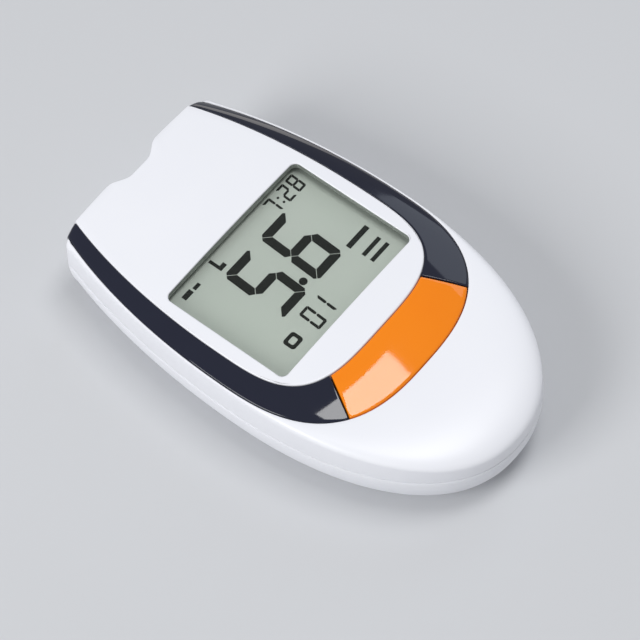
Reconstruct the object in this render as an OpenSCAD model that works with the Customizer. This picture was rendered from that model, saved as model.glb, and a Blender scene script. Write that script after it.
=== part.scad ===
// Blood glucose meter: an egg-shaped hand-held case with a framed display window, two dark
// bands, one wide button, a test-strip socket at the broad end and a coin cell behind a door.
// Millimetres, +Z out of the display, +Y towards the strip end. The origin is the middle of the
// footprint, on the underside.

/* [Case] */
// Length of the case, from its tip to the strip end
case_l = 106; // [103:0.5:110]
// Width of the case at its widest place
case_w = 62; // [61:0.5:65]
// Height of the case, from its underside to the top of the face
case_h = 23; // [22.5:0.5:26]
// Width of the case at the strip end
end_w = 46.8; // [46:0.2:48]
// Distance of the widest place from the middle of the case, towards the strip end
wide_y = 1.5; // [0.5:0.5:3]
// Fullness of the tip: 2 is an ellipse, more is squarer
tip_fullness = 2.2; // [2.1:0.05:2.4]
// Bow of the strip end across its width
end_bow = 0.5; // [0.2:0.1:0.9]
// Radius of the two corners at the strip end
corner_r = 3; // [2:0.5:4]
// Wall thickness of both covers
wall = 1.8; // [1.6:0.1:2]
// Height of the joint between the rear cover and the front cover
joint_z = 13; // [12:0.5:13]
// Width of the dark line between the two covers
seam_w = 0.25; // [0.15:0.05:0.4]
// Inset of the flat underside from the case's outline
base_inset = 8; // [7:0.5:9]
// Inset of the flat underside from the strip end
base_end_inset = 4; // [3:0.5:5]
// Radius of the front cover's upper edge
edge_r = 1.4; // [1:0.1:1.6]
// How far the upper edge falls towards the tip
tip_fall = 3.1; // [2.4:0.1:3.6]

/* [Face] */
// Width of the white rim outside the bands
rim_w = 0.9; // [0.7:0.1:1.2]
// Width of the same rim at the strip end
rim_end_w = 1.5; // [1.3:0.1:1.8]
// Width of a band at the face's widest place
band_w = 5; // [4.6:0.1:5.2]
// Width of a band at the strip end
band_end_w = 3.1; // [2.8:0.1:3.4]
// Height of the bands and the button at the middle, across the face
button_h = 12.2; // [11.8:0.1:12.7]
// Distance from the middle of the display to the lower edge of the face panel
panel_low = 24.6; // [24.2:0.1:25]
// Radius of the face panel's crown across its width
crown_r = 420; // [380:10:600]
// Fall from the crown's top to the outer edge of the bands
band_fall = 2.3; // [2.1:0.1:2.5]
// Thickness of the bands at their outer edge
band_t = 1.5; // [1.3:0.1:1.6]
// Thickness of the face panel at its crown
panel_t = 2.2; // [2:0.1:2.3]
// Thickness of the deck that carries the face
deck_t = 1.2; // [1:0.1:1.4]
// Width of the button along its inner edge
button_in_w = 30.8; // [30:0.2:31.6]
// Width of the button along its outer edge
button_out_w = 40.4; // [39.6:0.2:41.2]
// Half-width of the finger notch at the strip end
notch_half_w = 8.6; // [8:0.2:9.2]
// Depth of the finger notch
notch_depth = 2.6; // [2.2:0.1:3]

/* [Display] */
// Width of the white face panel beside the display window
window_side = 3.35; // [3.15:0.05:3.85]
// Height of the display window
window_h = 32.4; // [31.6:0.1:32.8]
// Distance of the window's middle from the middle of the case
window_y = 8.6; // [8.4:0.1:8.8]
// Corner radius of the window
window_r = 1.6; // [1:0.1:3]
// Thickness of the clear lens
lens_t = 1; // [0.8:0.1:1.1]
// Overlap of the lens behind the face panel on each side
lens_lap = 1.7; // [1.4:0.1:1.9]
// Space between the lens and the liquid crystal cell
lens_gap = 0.65; // [0.5:0.05:0.8]
// Thickness of each of the two display glasses
glass_t = 0.7; // [0.6:0.1:0.9]
// Thickness of the liquid crystal layer, which holds the segments
crystal_t = 0.15; // [0.1:0.05:0.2]
// Length of the contact ledge at each end of the front glass
ledge = 2.7; // [2.5:0.1:2.9]
// Height of the rubber connectors between the ledge and the board
zebra_h = 4.7; // [4.5:0.1:4.9]
// Height of the large digits
digit_h = 16.8; // [15:0.2:17.4]
// Width of the large digits
digit_w = 9; // [8:0.2:9.4]

/* [Electronics] */
// Thickness of the circuit board
board_t = 1.6; // [1:0.2:1.6]
// Inset of the circuit board from the case's outline
board_inset = 3.7; // [3.4:0.1:4]
// Travel of the button and of the switch under it
button_travel = 0.4; // [0.2:0.05:0.5]
// Height of the switch's plunger above the board
switch_h = 4.5; // [4.3:0.1:4.7]
// Width of a test strip
strip_w = 7; // [6:0.2:7.4]
// Height of the slot that takes the strip
strip_slot_h = 1.2; // [1:0.1:1.6]

/* [Battery] */
// Diameter of the coin cell
cell_d = 20; // [19.6:0.1:20.2]
// Thickness of the coin cell
cell_t = 3.2; // [2.5:0.1:3.2]
// Distance of the coin cell's middle from the middle of the case
cell_y = 2; // [1:0.5:3]
// Width of the battery door
door_w = 24.4; // [24:0.2:26]
// Thickness of the battery door
door_t = 1.4; // [1.2:0.1:1.5]
// Gap between the door and the rear cover
door_gap = 0.25; // [0.2:0.05:0.3]

/* [Screws] */
// Radius of the case screws' shanks
case_screw_r = 1; // [0.9:0.05:1.1]
// Distance of the upper case screws from the middle of the case
upper_screw_y = 41; // [40:0.5:41.5]
// Distance of the lower case screws from the middle of the case
lower_screw_y = -31; // [-31.5:0.5:-31]
// Radius of the board screws' shanks
board_screw_r = 0.8; // [0.7:0.05:0.9]

/* [Hidden] */
$fn = 48;
white = [0.95, 0.95, 0.97];
navy = [0.13, 0.15, 0.22];
orange = [0.98, 0.53, 0.05];
grey_green = [0.69, 0.74, 0.69];
ink = [0.06, 0.07, 0.06];
steel = [0.72, 0.72, 0.70];
gold = [0.83, 0.66, 0.30];
board_green = [0.10, 0.38, 0.22];
chip_black = [0.12, 0.12, 0.13];

overlap = 1;          // how far a cut runs past the face that it opens
fit_gap = 0.1;        // between pieces that sit still side by side
slide_gap = 0.25;     // round the button
face_gap = 0.05;      // between faces that rest on each other

// Heights, worked out from the crown of the face downwards
edge_z = case_h - band_fall;
rim_fall = 0.4;
rim_z = edge_z - rim_fall;
deck_z = edge_z - band_t;
deck_low_z = deck_z - deck_t;
plate_z = case_h - panel_t;
tape_t = 0.15;
lens_z = plate_z - tape_t - lens_t;
film_t = 0.2;
lcd_top_z = lens_z - lens_gap;
front_glass_z = lcd_top_z - film_t - glass_t;
crystal_z = front_glass_z - crystal_t;
rear_glass_z = crystal_z - glass_t;
reflector_t = 0.25;
lcd_low_z = rear_glass_z - reflector_t;
board_z = front_glass_z - zebra_h;
board_low_z = board_z - board_t;

// Outlines in plan. Each is [half width, y of the widest place, distance to the lower end,
// fullness of the lower end, distance to the upper ellipse's own end, y where it is cut off,
// bow of the cut end, radius of its corners].
tip_steps = 18;
side_steps = 8;
corner_steps = 3;
end_steps = 3;
end_y = case_l / 2;

function ellipse_reach(from_y, half_w, end_half_w) =
    (end_y - from_y) / sqrt(1 - pow(end_half_w / half_w, 2));
face_half_w = case_w / 2 - rim_w;
face_wide_y = wide_y + 1.9;
face_fullness = 2.75;
panel_half_w = face_half_w - band_w;
window_w = 2 * (panel_half_w - window_side);
panel_fullness = 3.5;
panel_low_y = window_y - panel_low;
face_low_y = panel_low_y - button_h;
face_reach = ellipse_reach(face_wide_y, face_half_w, end_w / 2 - rim_end_w);
panel_reach = ellipse_reach(window_y, panel_half_w, end_w / 2 - rim_end_w - band_end_w);
case_outline = [case_w / 2, wide_y, end_y + wide_y, tip_fullness,
    ellipse_reach(wide_y, case_w / 2, end_w / 2), end_y, end_bow, corner_r];
face_outline = [face_half_w, face_wide_y, face_wide_y - face_low_y, face_fullness,
    face_reach, end_y - edge_r, end_bow, 1];
panel_outline = [panel_half_w, window_y, panel_low, panel_fullness, panel_reach, end_y, 0, 0];

function half_at(s, y, d = 0) = y < s[1]
    ? (s[0] - d) * pow(max(0, 1 - pow((s[1] - y) / (s[2] - d), s[3])), 1 / s[3])
    : (s[0] - d) * sqrt(1 - pow((y - s[1]) / (s[4] - d), 2));
// A point of the lower end, by its angle from the lowest place
function low_point(s, a, d = 0) = [sign(a) * (s[0] - d) * pow(sin(abs(a)), 2 / s[3]),
    s[1] - (s[2] - d) * pow(cos(a), 2 / s[3])];
function low_angle(s, x, d = 0) = asin(pow(x / (s[0] - d), s[3] / 2));
// Height in y of the bowed strip end at x
function end_at(x) = end_y - end_bow * pow(x / (end_w / 2 - corner_r), 2);

// Share of its radius that a corner keeps at least when its outline is inset
kept_corner = 0.8;
// Right half of an outline inset by d, and by e at its cut end, from the tip upwards
function right_half(s, d, e) =
    let (
        r = max(s[7] - d, kept_corner * s[7], 0.4),
        corner_y = s[5] - e - s[6] - r,
        corner_x = half_at(s, corner_y, d + r),
        lean = atan2((corner_y - s[1]) / pow(s[4] - d, 2), corner_x / pow(s[0] - d, 2)),
        side_top = corner_y + r * sin(lean)
    )
    concat(
        [for (i = [0:tip_steps - 1]) low_point(s, 90 * i / tip_steps, d)],
        [for (i = [0:side_steps - 1]) let (y = s[1] + (side_top - s[1]) * i / side_steps)
            [half_at(s, y, d), y]],
        [for (i = [0:corner_steps]) let (a = lean + (90 - lean) * i / corner_steps)
            [corner_x + r * cos(a), corner_y + r * sin(a)]],
        [for (i = [1:end_steps]) let (x = corner_x * (1 - i / end_steps))
            [x, s[5] - e - s[6] * pow(x / corner_x, 2)]]
    );
function mirrored(half) = concat(half, [for (i = [len(half) - 2:-1:1]) [-half[i][0], half[i][1]]]);
function outline(s, d = 0, e = undef) = mirrored(right_half(s, d, is_undef(e) ? d : e));
function at_height(points, z) = [for (p = points) [p[0], p[1], z]];

function wall_faces(low, high, n) = [for (i = [0:n - 1], t = [0, 1]) let (j = (i + 1) % n)
    t == 0 ? [low + i, high + i, high + j] : [low + i, high + j, low + j]];

// A closed solid through a stack of rings. Every ring mirrors itself across x = 0, so the caps
// are strips that lie flat.
module loft(rings) {
    n = len(rings[0]);
    half = n / 2;
    top = (len(rings) - 1) * n;
    sides = [for (k = [0:len(rings) - 2]) each wall_faces(k * n, (k + 1) * n, n)];
    low_cap = [for (i = [0:half - 1]) i == 0 ? [0, 1, n - 1]
        : i == half - 1 ? [i, i + 1, n - i] : [i, i + 1, n - i - 1, n - i]];
    high_cap = [for (face = low_cap) [for (i = [len(face) - 1:-1:0]) top + face[i]]];
    polyhedron([for (r = rings) each r], concat(low_cap, high_cap, sides), convexity = 6);
}

// A closed wall: the rings run up its outside and down its inside
module sleeve(rings) {
    n = len(rings[0]);
    m = len(rings);
    polyhedron([for (r = rings) each r],
        [for (k = [0:m - 1]) each wall_faces(k * n, (k + 1) % m * n, n)], convexity = 6);
}

// A bar with flat ends through a row of sections
module bar_of(sections) {
    n = len(sections[0]);
    last = (len(sections) - 1) * n;
    sides = [for (k = [0:len(sections) - 2], j = [0:n - 1], t = [0, 1])
        let (near = k * n, far = near + n, i = (j + 1) % n)
        t == 0 ? [near + j, near + i, far + i] : [near + j, far + i, far + j]];
    polyhedron([for (s = sections) each s], concat([[for (j = [n - 1:-1:0]) j]],
        [[for (j = [0:n - 1]) last + j]], sides), convexity = 4);
}

module plan(s, d, low, high) {
    translate([0, 0, low]) linear_extrude(high - low) polygon(outline(s, d));
}

module rounded_rect(w, h, r) {
    square([w - 2 * r, h], center = true);
    square([w, h - 2 * r], center = true);
    for (x = [-1, 1], y = [-1, 1])
        translate([x * (w / 2 - r), y * (h / 2 - r)]) circle(r);
}

module slab(w, h, low, high) {
    translate([-w / 2, -h / 2, low]) cube([w, h, high - low]);
}

module post(x, y, r, low, high) {
    translate([x, y, low]) cylinder(r = r, h = high - low);
}

module at_window() {
    translate([0, window_y, 0]) children();
}

// ---- Places shared by several pieces ----

// Case screws
boss_r = 2.8;
boss_clear = 0.3;
screw_head_r = 2;
screw_head_h = 1.3;
screw_head_z = 3.7;
tunnel_r = 3.2;
tunnel_z = 8;
upper_screw_x = 16.5;
lower_screw_x = 18;
case_screws_at = [for (x = [-1, 1]) each
    [[x * upper_screw_x, upper_screw_y], [x * lower_screw_x, lower_screw_y]]];
screw_length = 10;

// Board screws
board_post_r = 2.2;
upper_post_gap = 2.3;
lower_post_gap = 2.4;
upper_post_x = 12.5;
lower_post_x = 11;
board_screw_l = 4;
board_head_r = 1.5;
board_head_h = 1;

// Liquid crystal cell and its frame
lcd_w = window_w + 3.5;
lcd_h = window_h + 7.6;
rear_glass_h = lcd_h - 2 * ledge;
lcd_hole_gap = 0.3;
frame_wall = 1.2;
zebra_t = 2;
zebra_y = lcd_h / 2 - ledge / 2;
frame_top_y = window_y + lcd_h / 2 + frame_wall + 0.2;
board_screws_at = [for (x = [-1, 1]) each
    [[x * upper_post_x, frame_top_y + board_post_r + upper_post_gap],
        [x * lower_post_x, face_low_y - board_post_r - lower_post_gap]]];

// Strip socket, on the board behind the notch
socket_w = 14;
socket_l = 11.5;
socket_h = 4.3;
nose_w = strip_w + 3.6;
nose_low_z = board_z + 0.25;
nose_high_z = board_z + 3.9;
notch_y = end_y - notch_depth;
nose_y = notch_y - 0.2;
socket_y = end_y - 5.5;
slot_z = board_z + 2.1;
end_block_w = 22;
end_block_t = 5;

// Button and switch
button_y = (panel_low_y + face_low_y) / 2;
flange_w = 0.9;
flange_t = 1.4;
flange_z = deck_low_z - face_gap;
button_wall = 1.4;
plunger_z = board_z + switch_h;
switch_w = 6;
switch_body_h = 3.5;

// Coin cell, its cup and the door
floor_t = 1.6;
door_z = 0.25;
door_high_z = door_z + door_t;
cell_z = door_high_z + 0.25;
cell_high_z = cell_z + cell_t;
cup_r = cell_d / 2 + 0.25;
cup_wall = 1.4;
cup_roof_z = cell_high_z + 0.4;
cup_roof_t = 1.2;
hinge_r = 1.25;
hinge_gap = 0.15;
hinge_z = door_z + hinge_r;
hinge_y = cell_y + cell_d / 2 + 4.2;
hinge_pin_r = 0.6;
hinge_pin_l = 0.9;
hinge_roof_t = 1.1;
door_low_y = cell_y - cell_d / 2 - 4.6;
door_ledge = 1.5;
door_ledge_t = 1.2;

// ---- The face: bands and button share one sloping surface ----

// A section across that surface, from its outer side f to its inner side p, lowered by drop
function slope_section(f, p, low, drop = 0) =
    let (edge_break = 0.3, high = case_h - 0.12 - pow(p[0], 2) / (2 * crown_r), across = p - f)
    concat(
        [[f[0], f[1], low], [f[0], f[1], edge_z - edge_break - drop]],
        [for (t = [0.04, 0.25, 0.5, 0.75, 1]) let (q = f + across * t)
            [q[0], q[1], edge_z + (high - edge_z) * t * (1.45 - 0.45 * t) - drop]],
        [[p[0], p[1], low]]
    );

// Where the button meets a band, on the outer and on the inner side, shortened by gap
function out_angle(gap, d) = low_angle(face_outline, button_out_w / 2 - gap, d);
function in_angle(gap, d) = low_angle(panel_outline, button_in_w / 2 - gap, d);

button_steps = 16;
// Plan of the button: gap clear of the bands, the cover and the face panel
function button_plan(gap) = concat(
    [for (i = [0:button_steps]) low_point(face_outline,
        out_angle(gap, gap) * (2 * i / button_steps - 1), gap)],
    [for (i = [button_steps:-1:0]) low_point(panel_outline,
        in_angle(gap, -gap) * (2 * i / button_steps - 1), -gap)]);

module button_prism(gap, low, high) {
    translate([0, 0, low]) linear_extrude(high - low) polygon(button_plan(gap));
}

// Plan of the face panel, closed along the strip end and round the finger notch
notch_flat = 2.4;
notch_steps = 7;
function notch_line(d) = [for (i = [0:notch_steps]) let (
    bend = notch_half_w - notch_flat, x = notch_flat + bend * i / notch_steps)
    [x + d, notch_y - d + (end_at(notch_half_w) - notch_y) * (1 - cos(180 * i / notch_steps)) / 2]];
function panel_half(d) = let (line = notch_line(max(d, 0)), n = len(line) - 1,
    top_x = half_at(panel_outline, end_y, d))
    concat(
        [for (i = [0:tip_steps - 1]) low_point(panel_outline, 90 * i / tip_steps, d)],
        [for (i = [0:side_steps - 1]) let (y = window_y + (end_y - d - window_y) * i / side_steps)
            [half_at(panel_outline, y, d), y]],
        [for (i = [0:2]) let (x = top_x + (line[n][0] - top_x) * i / 3) [x, end_at(x) - max(d, 0)]],
        [for (i = [n:-1:0]) line[i]],
        [[0, line[0][1]]]
    );

module panel_prism(d, low, high) {
    translate([0, 0, low]) linear_extrude(high - low) polygon(mirrored(panel_half(d)));
}

// The finger notch, as a plug to cut away from the front cover
module notch_plug(low, high) {
    line = notch_line(0);
    n = len(line) - 1;
    translate([0, 0, low]) linear_extrude(high - low) polygon(concat(
        [for (i = [n:-1:0]) [-line[i][0], line[i][1]]], line,
        [[notch_half_w + 0.6, end_y + overlap], [-notch_half_w - 0.6, end_y + overlap]]));
}

// Rounds the face panel's upper edge along the strip end
end_break = 0.9;
module end_round() {
    translate([-case_w / 2, end_y - end_break, 0]) rotate([90, 0, 90]) linear_extrude(case_w)
        difference() {
            translate([0, plate_z]) square([4, case_h]);
            intersection() {
                translate([-end_break, plate_z - overlap]) square([2 * end_break, case_h]);
                translate([0, case_h - 0.4 - end_break]) circle(end_break);
            }
            translate([0, plate_z - overlap])
                square([end_break, case_h - plate_z + overlap - end_break - 0.4]);
        }
}

// One band, on the right-hand side
module band() {
    low_steps = 10;
    high_steps = 8;
    low = deck_z + face_gap;
    out_a = out_angle(0, fit_gap);
    in_a = in_angle(0, -fit_gap);
    out_x = half_at(face_outline, end_y, fit_gap);
    in_x = half_at(panel_outline, end_y, -fit_gap);
    function side_section(t, drop) = let (
        f_y = face_wide_y + (end_at(out_x) - face_wide_y) * t,
        p_y = window_y + (end_at(in_x) - window_y) * t)
        slope_section([half_at(face_outline, f_y, fit_gap), f_y],
            [half_at(panel_outline, p_y, -fit_gap), p_y], low, drop);
    round_part = end_break / (end_y - window_y);
    bar_of(concat(
        [for (i = [0:low_steps - 1]) let (t = i / low_steps) slope_section(
            low_point(face_outline, out_a + (90 - out_a) * t, fit_gap),
            low_point(panel_outline, in_a + (90 - in_a) * t, -fit_gap), low)],
        [for (i = [0:high_steps]) side_section((1 - round_part) * i / high_steps, 0)],
        [for (a = [30, 60, 90]) side_section(1 - round_part * (1 - sin(a)), end_break * (1 - cos(a)))]
    ));
}

band_pin_r = 0.8;
band_pins_y = [41, 15, -7];
panel_pin_x = 14;
function band_mid(y) = (half_at(panel_outline, y) + half_at(face_outline, y)) / 2;
function band_pins(side) = [for (y = band_pins_y) [side * band_mid(y), y]];
panel_pins = [for (x = [-1, 1]) each
    [[x * panel_pin_x, end_y - 7], [x * panel_pin_x, panel_low_y + 2.9]]];

module pins(places, high) {
    for (p = places) post(p[0], p[1], band_pin_r, deck_low_z, high);
}

module left_trim() {
    color(navy) union() {
        mirror([1, 0, 0]) band();
        pins(band_pins(-1), deck_z + 0.5);
    }
}

module right_trim() {
    color(navy) union() {
        band();
        pins(band_pins(1), deck_z + 0.5);
    }
}

// Plan of the lens, let out by gap, with corners concentric with the window's
module lens_plan(gap) {
    rounded_rect(window_w + 2 * (lens_lap + gap), window_h + 2 * (lens_lap + gap),
        window_r + lens_lap + gap);
}

module face_panel() {
    skirt = 1.2;
    crown_sides = 720;
    color(white) difference() {
        union() {
            intersection() {
                panel_prism(0, deck_z + face_gap, case_h + overlap);
                translate([0, case_l, case_h - crown_r]) rotate([90, 0, 0])
                    cylinder(r = crown_r, h = 2 * case_l, $fn = crown_sides);
            }
            pins(panel_pins, deck_z + 0.5);
        }
        // Hollow behind the plate, inside the skirt, but for the seats of the pins
        difference() {
            panel_prism(skirt, deck_z - overlap, plate_z);
            for (p = panel_pins) post(p[0], p[1], band_pin_r + 0.8, deck_low_z - overlap, case_h);
        }
        at_window() translate([0, 0, deck_z - overlap]) linear_extrude(case_h)
            rounded_rect(window_w, window_h, window_r);
        // Room for the lens, where its corners reach under the skirt
        at_window() translate([0, 0, deck_z - overlap]) linear_extrude(plate_z - deck_z + overlap)
            lens_plan(0.2);
        end_round();
    }
}

module main_button() {
    low = flange_z - flange_t;
    out_a = out_angle(slide_gap, slide_gap);
    in_a = in_angle(slide_gap, -slide_gap);
    color(orange) union() {
        difference() {
            union() {
                bar_of([for (i = [0:button_steps]) let (t = 2 * i / button_steps - 1) slope_section(
                    low_point(face_outline, out_a * t, slide_gap),
                    low_point(panel_outline, in_a * t, -slide_gap), low)]);
                button_prism(-flange_w, low, flange_z);
            }
            button_prism(slide_gap + button_wall, low - overlap, deck_z);
        }
        post(0, button_y, 1.6, plunger_z, deck_z + 0.2);
    }
}

module display_lens() {
    color([0.86, 0.92, 0.93, 0.4]) at_window() translate([0, 0, lens_z]) linear_extrude(lens_t)
        lens_plan(0);
}

module lens_tape() {
    color(chip_black) at_window() translate([0, 0, lens_z + lens_t]) linear_extrude(tape_t)
        difference() {
            lens_plan(0);
            rounded_rect(window_w + 0.5, window_h + 0.5, window_r);
        }
}

// ---- Liquid crystal cell ----

module front_polariser() {
    color(grey_green) at_window()
        slab(lcd_w - 1, window_h + 2.2, front_glass_z + glass_t, lcd_top_z);
}

module lcd_front_glass() {
    color([0.75, 0.85, 0.82, 0.5]) at_window()
        slab(lcd_w, lcd_h, front_glass_z, front_glass_z + glass_t);
}

module lcd_rear_glass() {
    color([0.75, 0.85, 0.82, 0.5]) at_window()
        slab(lcd_w, rear_glass_h, rear_glass_z, rear_glass_z + glass_t);
}

module lcd_seal() {
    color(chip_black) at_window() difference() {
        slab(lcd_w, rear_glass_h, crystal_z, front_glass_z);
        slab(lcd_w - 1.6, rear_glass_h - 1.6, crystal_z - overlap, front_glass_z + overlap);
    }
}

module rear_polariser() {
    color(grey_green) at_window()
        slab(lcd_w - 1, rear_glass_h - 0.6, lcd_low_z, rear_glass_z);
}

// Seven-segment digit: which segments are lit, from the top one clockwise, then the middle
lean_per_mm = 0.05;
lit = [[1, 1, 1, 1, 1, 1, 0], [0, 1, 1, 0, 0, 0, 0], [1, 1, 0, 1, 1, 0, 1], [1, 1, 1, 1, 0, 0, 1],
    [0, 1, 1, 0, 0, 1, 1], [1, 0, 1, 1, 0, 1, 1], [1, 0, 1, 1, 1, 1, 1], [1, 1, 1, 0, 0, 0, 0],
    [1, 1, 1, 1, 1, 1, 1], [1, 1, 1, 1, 0, 1, 1]];

function leaned(points) = [for (p = points) [p[0] + lean_per_mm * p[1], p[1]]];
// A side segment of the left edge, from the corner at y0 to the middle at y1
function side_bar(w, t, c, g, y0, y1) = let (s = sign(y1 - y0))
    [[0, y0 + s * (c + g)], [c / 2, y0 + s * (c / 2 + g)], [t, y0 + s * (t + g)],
        [t, y1 - s * (t / 2 + g)], [t / 2, y1 - s * g], [0, y1 - s * (t / 2 - g)]];
function end_bar(w, t, c, g, y0, s) =
    [[c + g, y0], [w - c - g, y0], [w - c / 2 - g, y0 + s * c / 2], [w - t - g, y0 + s * t],
        [t + g, y0 + s * t], [c / 2 + g, y0 + s * c / 2]];
function mid_bar(w, t, g, y) = [[t / 2 + g, y], [t + g, y + t / 2], [w - t - g, y + t / 2],
    [w - t / 2 - g, y], [w - t - g, y - t / 2], [t + g, y - t / 2]];
function flipped(points, w) = [for (p = points) [w - p[0], p[1]]];

module digit(value, w, h, t) {
    c = t * 0.45;
    g = t * 0.05;
    bars = [end_bar(w, t, c, g, h, -1), flipped(side_bar(w, t, c, g, h, h / 2), w),
        flipped(side_bar(w, t, c, g, 0, h / 2), w), end_bar(w, t, c, g, 0, 1),
        side_bar(w, t, c, g, 0, h / 2), side_bar(w, t, c, g, h, h / 2), mid_bar(w, t, g, h / 2)];
    for (i = [0:6]) if (lit[value][i] == 1) polygon(leaned(bars[i]));
}

module bar(x, y, w, h) {
    translate([x, y]) square([w, h]);
}

// Marks of the display, placed from the window's edges and from the large digits
digit_gap = 3;
digits_low = -6.8;
marks_right = 1.6;
marks_up = 1.3;
module display_marks() {
    stroke = 2.1;
    left = -window_w / 2;
    right = window_w / 2;
    top = window_h / 2;
    first_x = -digit_w - digit_gap / 2 - 0.6;
    translate([first_x, digits_low]) digit(5, digit_w, digit_h, stroke);
    translate([first_x + digit_w + digit_gap, digits_low]) digit(6, digit_w, digit_h, stroke);
    translate([first_x + digit_w + 1.2, digits_low + 2.4]) circle(0.95);
    // Memory number and its mark
    translate([0, 1.6 - top]) {
        translate([first_x + 2.9, 0]) digit(0, 2.9, 5.8, 0.65);
        translate([first_x + 6.3, 0]) digit(1, 2.9, 5.8, 0.65);
        translate([first_x - 2.5, 2.7]) difference() {
            rounded_rect(3.6, 3.2, 0.8);
            rounded_rect(1.9, 1.5, 0.4);
        }
    }
    // Clock
    translate([right - 13.35, top - 5.75]) {
        digit(7, 2.4, 4.4, 0.55);
        for (y = [1.1, 2.8]) translate([3.8, y]) circle(0.3);
        translate([4.6, 0]) digit(2, 2.4, 4.4, 0.55);
        translate([7.8, 0]) digit(8, 2.4, 4.4, 0.55);
    }
    // Plain unit and status marks
    bar(right - 10.15, -7.3, 6.6, 1.3);
    bar(right - 9.75, -11, 5.6, 1);
    bar(right - 9.75, -13.3, 5.6, 1);
    bar(left + 1.95, top - 3.8, 2.6, 1.3);
    bar(left + 5.15, top - 3.8, 1.8, 0.9);
    bar(left + 12.15, top - 5.05, 0.8, 3.6);
    bar(left + 12.95, top - 5.05, 1.2, 1.1);
}

module display_segments() {
    color(ink) at_window() translate([marks_right, marks_up, crystal_z])
        linear_extrude(crystal_t) display_marks();
}

module lcd_frame() {
    low = board_z;
    high = deck_low_z - fit_gap;
    color(white) at_window() difference() {
        slab(lcd_w + 2 * frame_wall + 0.4, lcd_h + 2 * frame_wall + 0.4, low, high);
        slab(lcd_w + 0.4, lcd_h + 0.4, lcd_low_z, high + overlap);
        slab(lcd_w - 2.4, rear_glass_h - 2, low - overlap, high);
        for (y = [-1, 1]) translate([0, y * zebra_y, 0])
            slab(lcd_w - 0.8, zebra_t + 0.2, low - overlap, high);
    }
}

module zebra_strips() {
    color([0.35, 0.35, 0.37]) at_window() for (y = [-1, 1]) translate([0, y * zebra_y, 0])
        slab(lcd_w - 1.2, zebra_t, board_z, front_glass_z);
}

// ---- Circuit board and what is on it ----

board_top_y = end_y - 5.4;
board_bottom_y = face_low_y - 7.4;

module circuit_board() {
    color(board_green) difference() {
        intersection() {
            plan(case_outline, board_inset, board_low_z, board_z);
            translate([-case_w, board_bottom_y, 0])
                cube([2 * case_w, board_top_y - board_bottom_y, case_h]);
        }
        for (p = case_screws_at) post(p[0], p[1], boss_r + boss_clear, 0, case_h);
        for (p = board_screws_at) post(p[0], p[1], board_screw_r + 0.2, 0, case_h);
        // Slots for the cell's contacts
        for (c = [contact_slot_in, contact_slot_side]) translate([0, c, 0])
            slab(contact_w + 0.4, contact_t + 0.4, 0, case_h);
    }
}

module leads(count, pitch, reach, w, low, high) {
    for (i = [0:count - 1], s = [-1, 1])
        translate([(i - (count - 1) / 2) * pitch - w / 2, s > 0 ? reach - 1 : -reach, low])
            cube([w, 1, high - low]);
}

// Places of the parts on the board's underside, from the window and from the board's left edge
chip_at = [-9, window_y + 12];
memory_at = [12, window_y + 16];
crystal_at = [8, window_y + 7];
buzzer_r = 6;
buzzer_at = [13, button_y + buzzer_r - 1.9];
small_parts_edge = 5.7;
small_parts_pitch = [3.2, 2.6];

module microcontroller() {
    size = 10;
    high = board_low_z - 0.2;
    color(chip_black) translate(chip_at) difference() {
        union() {
            slab(size, size, high - 1.4, high);
            for (a = [0, 90]) rotate(a) leads(11, 0.8, size / 2 + 1, 0.35, board_low_z - 0.25, board_low_z);
            for (a = [0, 90]) rotate(a) leads(11, 0.8, size / 2 + 0.3, 0.35, high - 0.6, board_low_z - 0.2);
        }
        post(-size / 2 + 1.5, size / 2 - 1.5, 0.6, high - 1.6, high - 1.3);
    }
}

module memory_chip() {
    high = board_low_z - 0.15;
    color(chip_black) translate(memory_at) {
        slab(4.9, 3.9, high - 1.4, high);
        leads(4, 1.27, 3, 0.4, board_low_z - 0.2, board_low_z);
        leads(4, 1.27, 2.4, 0.4, high - 0.5, board_low_z - 0.1);
    }
}

module quartz_crystal() {
    can_r = 1.5;
    color(steel) translate([crystal_at[0], crystal_at[1], board_low_z - can_r]) {
        rotate([0, 90, 0]) cylinder(r = can_r, h = 6.2);
        for (y = [-0.4, 0.4]) translate([-1.6, y, 0]) rotate([0, 90, 0]) cylinder(r = 0.15, h = 1.7);
        for (y = [-0.4, 0.4]) translate([-1.6, y, 0]) cylinder(r = 0.15, h = can_r);
    }
}

module buzzer() {
    color(chip_black) translate(buzzer_at) difference() {
        post(0, 0, buzzer_r, board_low_z - 3.4, board_low_z);
        post(0, 0, 1, board_low_z - 3.4 - overlap, board_low_z - 2);
    }
}

module chip_parts() {
    edge_x = -half_at(case_outline, button_y, board_inset) + small_parts_edge;
    color([0.55, 0.45, 0.35]) for (column = [0:3], row = [0:3]) {
        size = column % 2 == 0 ? [1.6, 0.8, 0.5] : [2, 1.2, 0.9];
        translate([edge_x + small_parts_pitch[0] * column, button_y + small_parts_pitch[1] * row, 0])
            slab(size[0], size[1], board_low_z - size[2], board_low_z);
    }
}

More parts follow.
